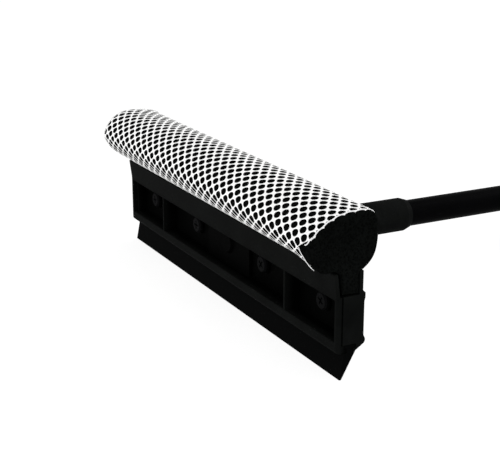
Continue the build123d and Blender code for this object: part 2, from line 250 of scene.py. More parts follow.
rubbed, given = new_group("rubbed_places", {"Streaks per metre": 300.0, "Amount": 0.3}, ["Mask"])
patches = add(rubbed, "ShaderNodeTexNoise", {
    "Vector": given["Place"], "Scale": PATCHES_PER_METRE, "Detail": 4.0})
streaks = add(rubbed, "ShaderNodeTexNoise", {
    "Vector": given["Place"], "Scale": given["Streaks per metre"], "Detail": 6.0, "Roughness": 0.7})
both = calc(rubbed, "MULTIPLY", ramp(rubbed, patches.outputs[0], *PATCH_EDGES),
            ramp(rubbed, streaks.outputs[0], *STREAK_EDGES))
add(rubbed, "NodeGroupOutput", {"Mask": calc(rubbed, "MULTIPLY", both, given["Amount"])})
print("group", rubbed.name, "made")

# %% [markdown]
# ## The black finishes
# One recipe serves every hard or rubbery black piece: a dark and a slightly paler black in cloudy patches,
# rubbed places that are paler and duller, and a fine relief. What changes from piece to piece is the size
# and the direction of the grain, how rough the skin is, and how much light it mirrors. A black piece in a
# white tent mirrors white, so its specular level stays low, or it would come out grey. The recipe can also
# change the colour from front to back, and paints light and shade that way: the pockets get painted shade,
# a deeper black than the bar above them, and the head's back gets painted light, slightly paler than its
# front.

# %% Recipe for a black finish
WORN_TIMES, WORN_PLUS = 2.2, 0.004
WORN_ROUGHER = 0.15
ROUGH_SWING = 0.06


def blend_colour(tree, mask, first, second):
    """The first colour where the mask is 0, the second where it is 1."""
    mix = add(tree, "ShaderNodeMix", {0: mask, 6: first, 7: second}, data_type="RGBA")
    return mix.outputs[2]


def black_finish(name, dark, pale, roughness, specular, grains, depth,
                 stretch=(1.0, 1.0, 1.0), rub=0.3, painted_light_and_shade=None):
    """A black finish. grains are per metre, depth is the relief in metres, and stretch draws the grain out.
    The last argument is two y values and a factor: between them the colour goes over to that many times
    itself, as painted light where the factor is over 1 and as painted shade where it is under 1."""
    finish = bpy.data.materials.new(name)
    finish.use_nodes = True
    tree = finish.node_tree
    tree.nodes.clear()
    place = add(tree, "ShaderNodeTexCoord").outputs["Object"]
    drawn = add(tree, "ShaderNodeMapping", {"Vector": place, "Scale": stretch}).outputs[0]
    skin = add(tree, "ShaderNodeGroup", node_tree=grain)
    tree.links.new(drawn, skin.inputs["Place"])
    skin.inputs["Grains per metre"].default_value = grains
    wear = add(tree, "ShaderNodeGroup", node_tree=rubbed)
    tree.links.new(drawn, wear.inputs["Place"])
    wear.inputs["Amount"].default_value = rub
    colour = blend_colour(tree, skin.outputs["Clouds"], (*dark, 1.0), (*pale, 1.0))
    worn = tuple(WORN_TIMES * c + WORN_PLUS for c in pale)
    colour = blend_colour(tree, wear.outputs["Mask"], colour, (*worn, 1.0))
    # Painted light and shade: the colour is scaled by how far behind the front the point lies
    if painted_light_and_shade:
        start, end, times = painted_light_and_shade
        from_front = add(tree, "ShaderNodeSeparateXYZ", {0: place}).outputs[1]
        colour = add(tree, "ShaderNodeVectorMath", {
            0: colour, "Scale": ramp(tree, from_front, start, end, 1.0, times)}, operation="SCALE").outputs[0]
    dull = ramp(tree, skin.outputs["Clouds"], 0.0, 1.0, roughness - ROUGH_SWING, roughness + ROUGH_SWING)
    dull = calc(tree, "ADD", dull, calc(tree, "MULTIPLY", wear.outputs["Mask"], WORN_ROUGHER))
    relief = add(tree, "ShaderNodeBump", {
        "Strength": 1.0, "Distance": depth, "Height": skin.outputs["Height"]})
    shader = add(tree, "ShaderNodeBsdfPrincipled", {
        "Base Color": colour, "Roughness": dull, "Normal": relief.outputs[0], "Specular IOR Level": specular})
    add(tree, "ShaderNodeOutputMaterial", {"Surface": shader.outputs[0]})
    return finish


# %% Finishes and the pieces that get them
MOULDED = {
    "dark": (0.0026, 0.0028, 0.0027), "pale": (0.0052, 0.0057, 0.0054), "roughness": 0.52, "specular": 0.003,
    "grains": 2200.0, "depth": 0.06 * MM}
# From which y to which, and how many times itself the colour is by then
# Painted light: from 16.5 to 24.5 mm behind the front, the head body's colour rises to 1.12 times itself, so
# its back is paler
BACK_PAINTED_LIGHT = (-0.312, -0.304, 1.12)
# Painted shade: from 2 to 6 mm behind the front, the front clamp's colour falls to a fifth, where the pockets
# lie in shade
POCKETS_PAINTED_SHADE = (-0.3265, -0.3225, 0.2)
# How the grain is drawn out
ALONG_BLADE = (0.12, 1.0, 1.0)
ALONG_TUBE = (1.0, 0.35, 1.0)

# This copy paints light onto the head body's back
moulding_painted_back_light = black_finish("moulded_black", **MOULDED, painted_light_and_shade=BACK_PAINTED_LIGHT)
# This copy paints shade into the front clamp's pockets
pocket_shade_painted = black_finish("moulded_black_pocketed", **MOULDED, painted_light_and_shade=POCKETS_PAINTED_SHADE)
lock_black = black_finish(
    "lock_black", (0.0070, 0.0070, 0.0074), (0.0130, 0.0130, 0.0138), roughness=0.42, specular=0.12,
    grains=2000.0, depth=0.06 * MM)
screw_black = black_finish(
    "blackened_screw", (0.0018, 0.0019, 0.0020), (0.0038, 0.0038, 0.0041), roughness=0.42, specular=0.006,
    grains=3000.0, depth=0.03 * MM)
rubber = black_finish(
    "wiping_rubber", (0.0011, 0.0012, 0.0012), (0.0020, 0.0021, 0.0021), roughness=0.62, specular=0.004,
    grains=1500.0, depth=0.03 * MM, stretch=ALONG_BLADE, rub=0.15)
# The two tubes carry one black coat in two copies: the inner tube's copy is painted darker, as painted shade,
# and the outer tube's copy is painted paler, as painted light
inner_coat_painted_shade = black_finish(
    "coated_tube_painted_shade", (0.0007, 0.0007, 0.0008), (0.0013, 0.0013, 0.0015), roughness=0.36, specular=0.005,
    grains=900.0, depth=0.03 * MM, stretch=ALONG_TUBE, rub=0.25)
hand_tube_painted_light = black_finish(
    "coated_hand_tube", (0.0040, 0.0040, 0.0043), (0.0080, 0.0080, 0.0086), roughness=0.34, specular=0.10,
    grains=900.0, depth=0.03 * MM, stretch=ALONG_TUBE, rub=0.25)
grip_black = black_finish(
    "ribbed_rubber", (0.0080, 0.0080, 0.0084), (0.0140, 0.0140, 0.0147), roughness=0.64, specular=0.09,
    grains=1600.0, depth=0.12 * MM)
FINISHES = {
    moulding_painted_back_light: ("head_body",),
    pocket_shade_painted: ("front_clamp",),
    lock_black: ("lock_collet", "lock_collar", "end_cap", "guide_bush"),
    screw_black: ("clamp_screws", "neck_screw"),
    rubber: ("rubber_blade",),
    inner_coat_painted_shade: ("inner_tube",),
    hand_tube_painted_light: ("outer_tube",),
    grip_black: ("grip",),
}
for finish, names in FINISHES.items():
    for name in names:
        nodes[name].data.materials.clear()
        nodes[name].data.materials.append(finish)
    print(finish.name, "on", ", ".join(names))

# %% [markdown]
# ## The roll's cross sections
# The sponge is a long block that the net squeezes into a roll, and no two places along it have quite the
# same section: the crown sinks towards the right end, and there the front droops over the bar. Four
# sections, at the far end, the middle, the near end and for the droop, are drawn as smooth curves through a
# few points. Anything that follows the roll blends between them, so the sponge and its net share one shape.
# The points are in millimetres from the middle of the head's front, and both ends of each curve are tucked
# in the channel.

# %% Section curves
HEAD_ZERO = Vector((0.0, -328.5, 35.4)) * MM
TUCK_FRONT = [(2.9, 15.8), (2.1, 22.0), (1.2, 27.4)]
TUCK_BACK = [(14.3, 27.5), (14.2, 22.0), (14.2, 15.8)]
FULL_BACK = [(27.0, 51.0), (27.1, 43.0), (25.6, 36.2), (22.0, 31.8), (17.0, 29.4)]
NEAR_TOP_AND_BACK = [
    (-18.1, 49.4), (-15.0, 53.3), (-11.2, 56.6), (-7.0, 59.3), (-2.4, 61.5), (2.4, 63.0), (7.4, 63.8),
    (12.4, 64.0), (17.5, 63.9), (22.2, 62.2), (24.9, 58.1), (25.9, 50.5), (25.6, 43.2), (23.8, 36.6),
    (20.6, 32.3), (17.0, 29.4)]
SECTIONS = {
    "far": [
        (-2.2, 29.6), (-6.4, 32.0), (-10.7, 34.9), (-14.5, 37.9), (-17.7, 41.3), (-20.3, 45.4), (-21.7, 50.2),
        (-20.4, 54.8), (-17.8, 58.9), (-14.5, 62.4), (-10.4, 65.1), (-5.7, 66.8), (-0.7, 67.4), (4.3, 67.4),
        (9.3, 67.0), (14.3, 66.4), (19.1, 64.9), (22.8, 62.4), (25.5, 57.5), *FULL_BACK],
    "middle": [
        (-2.2, 29.4), (-6.4, 32.1), (-10.4, 35.1), (-14.0, 38.5), (-16.7, 42.6), (-18.7, 47.2), (-18.0, 52.0),
        (-15.4, 56.2), (-11.8, 59.6), (-7.6, 62.4), (-3.2, 64.5), (1.6, 66.0), (6.5, 66.7), (11.5, 66.5),
        (16.4, 65.6), (20.9, 63.4), (24.4, 59.7), *FULL_BACK],
    "near": [
        (-2.2, 29.6), (-6.6, 31.8), (-10.9, 34.5), (-14.5, 37.5), (-17.3, 40.8), (-18.8, 44.9),
        *NEAR_TOP_AND_BACK],
    "drooping": [
        (-2.2, 29.3), (-6.2, 29.0), (-9.8, 29.7), (-13.0, 31.8), (-15.8, 34.9), (-17.9, 38.8), (-19.0, 42.6),
        (-19.2, 46.0), *NEAR_TOP_AND_BACK],
}


def smooth_curve(name, points):
    """A smooth curve in the plane x = 0 through points given in the head's millimetres."""
    data = bpy.data.curves.new(name, "CURVE")
    data.dimensions = "3D"
    data.resolution_u = 10
    spline = data.splines.new("BEZIER")
    spline.bezier_points.add(len(points) - 1)
    for knot, (y, z) in zip(spline.bezier_points, points):
        knot.co = HEAD_ZERO + Vector((0.0, y, z)) * MM
        knot.handle_left_type = knot.handle_right_type = "AUTO"
    obj = bpy.data.objects.new(name, data)
    scene.collection.objects.link(obj)
    return obj


section_curves = {
    name: smooth_curve("section_" + name, [*TUCK_FRONT, *points, *TUCK_BACK])
    for name, points in SECTIONS.items()
}
bpy.context.view_layer.update()


def along_curve(obj, shares):
    """Points on a curve at shares of its length, as an array of y and z, and the length."""
    mesh = bpy.data.meshes.new_from_object(obj)
    path = np.array([tuple(v.co)[1:] for v in mesh.vertices])
    bpy.data.meshes.remove(mesh)
    walked = np.concatenate([[0.0], np.cumsum(np.linalg.norm(np.diff(path, axis=0), axis=1))])
    wanted = np.asarray(shares) * walked[-1]
    return np.stack([np.interp(wanted, walked, path[:, i]) for i in (0, 1)], axis=1), walked[-1]


section_lengths = {name: along_curve(obj, [0.0])[1] for name, obj in section_curves.items()}
print("round the roll, mm:", {name: round(1000 * v, 1) for name, v in section_lengths.items()})

# %% [markdown]
# ## The net's lattice
# The net is a knitted tube with holes in rows: even rows have one hole more than odd ones, and each hole
# sits between two of the row below, so the threads run in two slanting families. The row that crosses the
# front of the roll is where the picture shows the holes most clearly, so the lattice is set out from there.
# Where the net is pulled down into the channel its rows are drawn apart, which opens the holes into long
# slits. A row doesn't keep its height along the roll. Two rows were followed in the picture from end to
# end. With the back corner and the channel's two mouths they tell which place on one section answers to
# which on the others.

# %% Lattice sizes
COLUMNS = 31
PITCH_ALONG = 9.815 * MM
PITCH_ROUND = 3.452 * MM
NET_SHIFT = 0.33 * MM
DRAWN_APART = 1.4
ROWS_ON_FLANK = 6
HEM_DEPTH = 9.0 * MM
# In each list the front mouth, the front row, the crown row, the back corner and the back mouth
FOLLOWED = {
    "far": [TUCK_FRONT[-1], (-21.27, 52.73), (4.16, 67.4), (27.2, 47.0), TUCK_BACK[0]],
    "middle": [TUCK_FRONT[-1], (-15.89, 55.52), (11.7, 66.5), (27.2, 47.0), TUCK_BACK[0]],
    "near": [TUCK_FRONT[-1], (-15.4, 52.86), (14.02, 64.01), (25.6, 47.0), TUCK_BACK[0]],
}
FOLLOWED["drooping"] = FOLLOWED["near"]
# Where three of them stand among the shares, which begin with the curve's own end
FRONT_ROW, BACK_CORNER, BACK_MOUTH = 2, 4, 5
FINE_SHARES = np.linspace(0.0, 1.0, 3001)


def shares_of(name):
    """The followed places of a section as shares of its length, with its two ends."""
    path = along_curve(section_curves[name], FINE_SHARES)[0]
    places = [np.array([HEAD_ZERO.y + y * MM, HEAD_ZERO.z + z * MM]) for y, z in FOLLOWED[name]]
    return [0.0, *(float(FINE_SHARES[np.argmin(np.linalg.norm(path - at, axis=1))]) for at in places), 1.0]


followed_shares = {name: shares_of(name) for name in SECTIONS}
round_length = section_lengths["middle"]
front_row_at, back_corner_at, back_mouth_at = (
    round_length * followed_shares["middle"][k] for k in (FRONT_ROW, BACK_CORNER, BACK_MOUTH))
pull_from = front_row_at - ROWS_ON_FLANK * PITCH_ROUND
rows_below = ROWS_ON_FLANK + int((pull_from - HEM_DEPTH) / (DRAWN_APART * PITCH_ROUND))
rows_below += rows_below % 2
first_row_at = front_row_at - rows_below * PITCH_ROUND
back_rows = int((back_corner_at - front_row_at) / PITCH_ROUND)
pull_back_from = front_row_at + back_rows * PITCH_ROUND
channel_rows = int((round_length - HEM_DEPTH - pull_back_from) / (DRAWN_APART * PITCH_ROUND))
ROWS = 1 + rows_below + back_rows + channel_rows
print("rows:", ROWS, "of", COLUMNS, "and", COLUMNS - 1, "holes;", rows_below, "below the front row")

# %% [markdown]
# ## The sponge
# Black foam fills the net and swells a little into every hole. It could be sculpted, but it follows the
# same sections as the net, so it is worked out point by point: a grid round the roll and along it, set back
# under the net by its thickness, puffed out at the holes, with rounded cut ends. Behind the crown the net
# draws back from the ends, and the free foam swells a little there. Its open pores are too small for
# geometry and are left to the finish.

# %% Sponge sizes and sections
SPONGE_HALF = 149.8 * MM
NET_HALF = 148.0 * MM
DROOP_FROM = 116.0 * MM
STEPS_ROUND, STEPS_ALONG, STEPS_END = 180, 250, 5

even_shares = np.linspace(0.0, 1.0, STEPS_ROUND + 1)
samples = {
    name: along_curve(obj, np.interp(even_shares, followed_shares["middle"], followed_shares[name]))[0]
    for name, obj in section_curves.items()
}


def section_at(x):
    """The roll's section at x and its outward normals: far, middle and near blended, and the droop added."""
    t = x / NET_HALF
    weights = {"far": 0.5 * t * (t - 1), "middle": 1 - t * t, "near": 0.5 * t * (t + 1)}
    path = sum(weight * samples[name] for name, weight in weights.items())
    droop = min(max((x - DROOP_FROM) / (NET_HALF - DROOP_FROM), 0.0), 1.0) ** 2
    path = path + droop * (samples["drooping"] - samples["near"])
    along = np.gradient(path, axis=0)
    along /= np.linalg.norm(along, axis=1)[:, None]
    return path, np.stack([-along[:, 1], along[:, 0]], axis=1)


print("sections are sampled at", STEPS_ROUND + 1, "points")

# %% Sponge rings
UNDER_NET = 0.75 * MM
END_ROUND = 1.4 * MM
PUFF = 0.5 * MM
PUFF_STOPS = 3.0 * MM
BACK_SWELL = 1.1 * MM
SWELL_FROM, SWELL_OVER = 145.5 * MM, 2.5 * MM
CROWN_ROW, CROWN_ROWS = 11.0, 2.0

walked = np.linspace(0.0, round_length, STEPS_ROUND + 1)
walked_rows = (walked - front_row_at) / PITCH_ROUND
behind_crown = np.clip((walked_rows - CROWN_ROW) / CROWN_ROWS, 0.0, 1.0)


def hole_puff(x):
    """1 in the middle of a hole of the net and 0 under its threads, for each place round the roll."""
    p = (x - NET_SHIFT) / PITCH_ALONG
    eased = np.clip(walked, pull_from, pull_back_from)
    q = (eased + (walked - eased) / DRAWN_APART - first_row_at) / (2 * PITCH_ROUND)
    return (np.cos(np.pi * (p + q)) * np.cos(np.pi * (p - q))) ** 2


# Where each ring stands along the roll, and how far it is drawn in at the rounded ends
straight = SPONGE_HALF - END_ROUND
end_angles = np.linspace(0.0, 0.5 * np.pi, STEPS_END + 1)[1:]
bends = [(END_ROUND * math.sin(a), END_ROUND * (1 - math.cos(a))) for a in end_angles]
stations = [(-(straight + out), set_in) for out, set_in in bends[::-1]]
stations += [(x, 0.0) for x in np.linspace(-straight, straight, STEPS_ALONG + 1)]
stations += [(straight + out, set_in) for out, set_in in bends]
rings = []
for x, set_in in stations:
    path, outward = section_at(x)
    puff = PUFF * hole_puff(x) if abs(x) < NET_HALF - PUFF_STOPS else 0.0 * walked
    puff = puff + BACK_SWELL * behind_crown * min(max((abs(x) - SWELL_FROM) / SWELL_OVER, 0.0), 1.0)
    ring = path + outward * (puff - UNDER_NET - set_in)[:, None]
    rings.append(np.column_stack([np.full(len(ring), x), ring]))
print("sponge rings:", len(rings), "of", STEPS_ROUND + 1, "points")

# %% Sponge mesh
CORE = np.array([HEAD_ZERO.y + 6.0 * MM, HEAD_ZERO.z + 45.0 * MM])
CAP_RINGS = 10
DISH = 0.6 * MM


def cap_rings(ring, side):
    """Rings that close a cut end, shrinking to the core, a little dished as a knife leaves soft foam."""
    made = []
    for k in range(1, CAP_RINGS):
        shrink = 1 - k / CAP_RINGS
        inner = ring.copy()
        inner[:, 1:] = CORE + (ring[:, 1:] - CORE) * shrink
        inner[:, 0] = ring[:, 0] - side * DISH * math.sin(0.5 * math.pi * (1 - shrink))
        made.append(inner)
    return made


all_rings = cap_rings(rings[0], -1)[::-1] + rings + cap_rings(rings[-1], 1)
points = np.concatenate(all_rings)
around = STEPS_ROUND + 1
faces = []
for i in range(len(all_rings) - 1):
    for j in range(around):
        k = (j + 1) % around
        faces.append((i * around + j, (i + 1) * around + j, (i + 1) * around + k, i * around + k))
last = (len(all_rings) - 1) * around
tips = [len(points), len(points) + 1]
points = np.concatenate([points, [[all_rings[0][0, 0], *CORE], [all_rings[-1][0, 0], *CORE]]])
for j in range(around):
    k = (j + 1) % around
    faces.append((tips[0], j, k))
    faces.append((tips[1], last + k, last + j))
sponge_mesh = bpy.data.meshes.new("sponge_roll")
sponge_mesh.from_pydata(points.tolist(), [], faces)
work = bmesh.new()
work.from_mesh(sponge_mesh)
bmesh.ops.recalc_face_normals(work, faces=work.faces)
work.to_mesh(sponge_mesh)
work.free()
sponge_mesh.polygons.foreach_set("use_smooth", [True] * len(sponge_mesh.polygons))
sponge = bpy.data.objects.new("sponge_roll", sponge_mesh)
scene.collection.objects.link(sponge)
print("sponge faces:", len(sponge_mesh.polygons))

# %% [markdown]
# ## The foam's finish
# Foam is a froth of tiny bubbles cut open. Two sizes of Voronoi cells give the bubbles, and their colour
# paints the light and shade on them: the walls are painted a little paler, as painted light, and the hollows
# nearly black, as painted shade.

# %% Foam
SMALL_BUBBLES, LARGE_BUBBLES = 1500.0, 620.0
SMALL_SHARE, LARGE_SHARE = 0.5, 0.7
WALL_EDGES = (0.25, 0.75)
BUBBLE_DEPTH = 0.5 * MM
# Painted shade in the bubbles' hollows and painted light on their walls
HOLLOW, WALL = (0.0008, 0.0009, 0.0008, 1.0), (0.0038, 0.0043, 0.0040, 1.0)

foam = bpy.data.materials.new("black_foam")
foam.use_nodes = True
tree = foam.node_tree
tree.nodes.clear()
place = add(tree, "ShaderNodeTexCoord").outputs["Object"]
small = add(tree, "ShaderNodeTexVoronoi", {"Vector": place, "Scale": SMALL_BUBBLES})
large = add(tree, "ShaderNodeTexVoronoi", {"Vector": place, "Scale": LARGE_BUBBLES})
tint = add(tree, "ShaderNodeGroup", node_tree=grain)
tree.links.new(place, tint.inputs["Place"])
froth = calc(tree, "ADD", calc(tree, "MULTIPLY", small.outputs["Distance"], SMALL_SHARE),
             calc(tree, "MULTIPLY", large.outputs["Distance"], LARGE_SHARE))
cloudy = ramp(tree, tint.outputs["Clouds"], 0.0, 1.0, 0.5, 1.0)
shade = calc(tree, "MULTIPLY", ramp(tree, froth, *WALL_EDGES), cloudy)
colour = blend_colour(tree, shade, HOLLOW, WALL)
relief = add(tree, "ShaderNodeBump", {"Strength": 1.0, "Distance": BUBBLE_DEPTH, "Height": froth})
shader = add(tree, "ShaderNodeBsdfPrincipled", {
    "Base Color": colour, "Roughness": 0.92, "Specular IOR Level": 0.003, "Normal": relief.outputs[0]})
add(tree, "ShaderNodeOutputMaterial", {"Surface": shader.outputs[0]})
sponge_mesh.materials.append(foam)
print("finish", foam.name, "made")

# %% [markdown]
# ## One cell of the net
# Drawing every thread of the net as its own curve would be heavy, and the threads would have to be joined
# where they cross. It is lighter to make one cell: a rhombus with a rounded hole in it, thick along its
# edges, so that four cells set side by side make whole threads and a soft knot where they cross. Each point
# also remembers which way it goes when its thread is pulled thin.

# %% Net cell
HOLE_ALONG = 2.9 * MM
HOLE_ROUND = 2.22 * MM
HOLE_POWER = 1.85
THREAD_HEIGHT = 0.22 * MM
KNOT_RISE = 0.06 * MM
UNDERSIDE = -0.10 * MM
SHOULDER_AT, SHOULDER_HEIGHT = 0.6, 0.82
RIM_HEIGHT = 0.25
UNDERCUT = 0.12
THINNED = 0.32
CELL_POINTS = 16


def rhombus_point(k):
    """Point k on the edge of the cell, the corners being every quarter of the way round."""
    corners = [(0.5 * PITCH_ALONG, 0.0), (0.0, PITCH_ROUND), (-0.5 * PITCH_ALONG, 0.0), (0.0, -PITCH_ROUND)]
    side, step = divmod(k, CELL_POINTS // 4)
    part = step / (CELL_POINTS // 4)
    (x0, y0), (x1, y1) = corners[side], corners[(side + 1) % 4]
    return Vector((x0 + (x1 - x0) * part, y0 + (y1 - y0) * part, 0.0))


def hole_point(k):
    """Point k on the edge of the hole, between an oval and a rhombus."""
    turn = 2 * math.pi * k / CELL_POINTS
    along, across = (math.copysign(abs(v) ** (2 / HOLE_POWER), v) for v in (math.cos(turn), math.sin(turn)))
    return Vector((along * HOLE_ALONG, across * HOLE_ROUND, 0.0))


cell_rings = [[], [], [], [], []]
for k in range(CELL_POINTS):
    edge, rim = rhombus_point(k), hole_point(k)
    knot = KNOT_RISE if k % (CELL_POINTS // 4) == 0 else 0.0
    cell_rings[0].append((edge.x, edge.y, THREAD_HEIGHT + knot))
    shoulder = edge.lerp(rim, SHOULDER_AT)
    cell_rings[1].append((shoulder.x, shoulder.y, SHOULDER_HEIGHT * THREAD_HEIGHT))
    cell_rings[2].append((rim.x, rim.y, RIM_HEIGHT * THREAD_HEIGHT))
    under = rim.lerp(edge, UNDERCUT)
    cell_rings[3].append((under.x, under.y, UNDERSIDE))
    cell_rings[4].append((edge.x, edge.y, UNDERSIDE))
cell_mesh = bpy.data.meshes.new("net_cell")
thinning = [(0.0, 0.0, 0.0)] * CELL_POINTS
for ring in cell_rings[1:4]:
    thinning += [((e[0] - r[0]) * THINNED, (e[1] - r[1]) * THINNED, 0.0) for e, r in zip(cell_rings[0], ring)]
thinning += [(0.0, 0.0, 0.0)] * CELL_POINTS
cell_faces = [
    (a * CELL_POINTS + k, a * CELL_POINTS + (k + 1) % CELL_POINTS,
     (a + 1) * CELL_POINTS + (k + 1) % CELL_POINTS, (a + 1) * CELL_POINTS + k)
    for a in range(4) for k in range(CELL_POINTS)
]
cell_mesh.from_pydata([p for ring in cell_rings for p in ring], [], cell_faces)
store = cell_mesh.attributes.new("thinning", "FLOAT_VECTOR", "POINT")
store.data.foreach_set("vector", [v for point in thinning for v in point])
net_cell = bpy.data.objects.new("net_cell", cell_mesh)
scene.collection.objects.link(net_cell)

# %% [markdown]
# ## The net's finish
# The thread is white polyester. Its fibres run along each slanting thread with a slight twist, so the
# finish works in the net's own flat measure, which the tree below stores as a UV map: it finds which of the
# two families a point belongs to and draws the fibres that way.

# %% White thread
FIBRE_WAVES, FIBRE_TWIST = 95.0, 40.0
FIBRE_RELIEF = 0.35
FUZZ_PER_METRE, THREAD_CLOUDS = 4200.0, 60.0
FUZZ_DEPTH = 0.12 * MM
THREAD_DARKER, THREAD_WHITER = (0.86, 0.86, 0.855, 1.0), (0.92, 0.92, 0.915, 1.0)

thread = bpy.data.materials.new("white_thread")
thread.use_nodes = True
tree = thread.node_tree
tree.nodes.clear()
flat_place = add(tree, "ShaderNodeUVMap", uv_map="UVMap").outputs[0]
apart = add(tree, "ShaderNodeSeparateXYZ", {0: flat_place})
p = calc(tree, "DIVIDE", apart.outputs[0], PITCH_ALONG / MM)
q = calc(tree, "DIVIDE", apart.outputs[1], 2 * PITCH_ROUND / MM)
rising, falling = calc(tree, "ADD", p, q), calc(tree, "SUBTRACT", p, q)


def fibres(across, along):
    """Waves that run along one family of threads with a slight twist."""
    waves, twist = calc(tree, "MULTIPLY", across, FIBRE_WAVES), calc(tree, "MULTIPLY", along, FIBRE_TWIST)
    return calc(tree, "SINE", calc(tree, "ADD", waves, twist))


def from_thread(value):
    """How far a point is from the middle line of its family's nearest thread."""
    return calc(tree, "ABSOLUTE", calc(tree, "SUBTRACT", calc(tree, "FRACT", value), 0.5))


on_falling = calc(tree, "LESS_THAN", from_thread(rising), from_thread(falling))
lay = add(tree, "ShaderNodeMix", {
    0: on_falling, 2: fibres(falling, rising), 3: fibres(rising, falling)}).outputs[0]
object_place = add(tree, "ShaderNodeTexCoord").outputs["Object"]
fuzz = add(tree, "ShaderNodeGroup", node_tree=grain)
tree.links.new(object_place, fuzz.inputs["Place"])
fuzz.inputs["Grains per metre"].default_value = FUZZ_PER_METRE
fuzz.inputs["Clouds per metre"].default_value = THREAD_CLOUDS
relief_height = calc(tree, "ADD", calc(tree, "MULTIPLY", lay, FIBRE_RELIEF), fuzz.outputs["Height"])
colour = blend_colour(tree, fuzz.outputs["Clouds"], THREAD_DARKER, THREAD_WHITER)
relief = add(tree, "ShaderNodeBump", {"Strength": 0.6, "Distance": FUZZ_DEPTH, "Height": relief_height})
shader = add(tree, "ShaderNodeBsdfPrincipled", {
    "Base Color": colour, "Roughness": 0.7, "Specular IOR Level": 0.25, "Normal": relief.outputs[0]})
add(tree, "ShaderNodeOutputMaterial", {"Surface": shader.outputs[0]})
print("finish", thread.name, "made")

# %% [markdown]
# ## The net as a Geometry Nodes tree
# The tree lays a flat grid of points, pushes every odd row along by half a hole, drops the point that falls
# off the end, puts a cell on each point and joins them. Only then is the flat net wrapped: its second
# measure is a distance round the roll, so each point is looked up on the four section curves and lifted
# along their normal. Wrapping last keeps the cells joined, because neighbours share their edge before they
# bend.

# %% Inputs of the tree
def new_input(tree, name, kind):
    """A named input of a Geometry Nodes tree."""
    return tree.interface.new_socket(name, in_out="INPUT", socket_type=kind)


NET_INPUTS = {
    "NodeSocketInt": ("Columns", "Rows"),
    "NodeSocketFloat": (
        "Pitch along", "Pitch round", "First row", "Round length", "Half length", "End hole", "Pull from",
        "Pull back from", "Drawn apart", "Tuck in", "Shift", "Curl from", "Curl radius", "Thin from",
        "Receding from", "Frayed rows", "Frayed from", "Gathered from", "Gathered", "Crown from",
        "Crown closed", "Droop from"),
    "NodeSocketObject": ("Cell", "Far section", "Middle section", "Near section", "Drooping section"),
    "NodeSocketMaterial": ("Thread",),
}
net_tree = bpy.data.node_groups.new("diamond_net", "GeometryNodeTree")
net_inputs = {
    label: new_input(net_tree, label, kind) for kind, labels in NET_INPUTS.items() for label in labels
}
net_tree.interface.new_socket("Net", in_out="OUTPUT", socket_type="NodeSocketGeometry")
take = add(net_tree, "NodeGroupInput").outputs
print("inputs of the net's tree:", len(net_inputs))

# %% Flat lattice with odd rows shifted
END_SLACK = 0.1 * MM


def n_calc(operation, first, second=0.0):
    """One step of arithmetic in the net's tree."""
    return calc(net_tree, operation, first, second)


def n_here():
    """The place of the point at hand."""
    return add(net_tree, "GeometryNodeInputPosition").outputs[0]


def n_parts(place):
    """The three measures of a place."""
    return add(net_tree, "ShaderNodeSeparateXYZ", {0: place}).outputs


width = n_calc("MULTIPLY", n_calc("SUBTRACT", take["Columns"], 1.0), take["Pitch along"])
depth = n_calc("MULTIPLY", n_calc("SUBTRACT", take["Rows"], 1.0), take["Pitch round"])
lattice = add(net_tree, "GeometryNodeMeshGrid", {
    "Size X": width, "Size Y": depth, "Vertices X": take["Columns"], "Vertices Y": take["Rows"]})
spot = n_parts(n_here())
up_the_net = n_calc("ADD", spot[1], n_calc("MULTIPLY", depth, 0.5))
row = n_calc("ROUND", n_calc("DIVIDE", up_the_net, take["Pitch round"]))
odd = n_calc("MODULO", row, 2.0)
shift = n_calc("MULTIPLY", odd, n_calc("MULTIPLY", take["Pitch along"], 0.5))
shifted = add(net_tree, "ShaderNodeCombineXYZ", {
    0: n_calc("ADD", spot[0], shift), 1: n_calc("ADD", up_the_net, take["First row"])})
lattice_set = add(net_tree, "GeometryNodeSetPosition", {
    "Geometry": lattice.outputs["Mesh"], "Position": shifted.outputs[0]})
spot = n_parts(n_here())
off_end = n_calc("GREATER_THAN", spot[0], n_calc("ADD", n_calc("MULTIPLY", width, 0.5), END_SLACK))
row = n_calc("DIVIDE", n_calc("SUBTRACT", spot[1], take["First row"]), take["Pitch round"])
low_row = n_calc("LESS_THAN", row, take["Frayed rows"])
frayed = n_calc("MULTIPLY", low_row, n_calc("GREATER_THAN", spot[0], take["Frayed from"]))
kept = add(net_tree, "GeometryNodeDeleteGeometry", {
    "Geometry": lattice_set.outputs[0], "Selection": n_calc("MAXIMUM", off_end, frayed)})
print("lattice of", COLUMNS, "by", ROWS, "points")

# %% A cell on each point, joined to its neighbours
JOIN_WITHIN = 0.02 * MM


def n_vector(operation, first, second=(0.0, 0.0, 0.0)):
    """One step of arithmetic on places or directions in the net's tree."""
    return add(net_tree, "ShaderNodeVectorMath", {0: first, 1: second}, operation=operation).outputs[0]


def n_scaled(vector, times):
    """A place or a direction, so many times as long."""
    return add(net_tree, "ShaderNodeVectorMath", {0: vector, "Scale": times}, operation="SCALE").outputs[0]


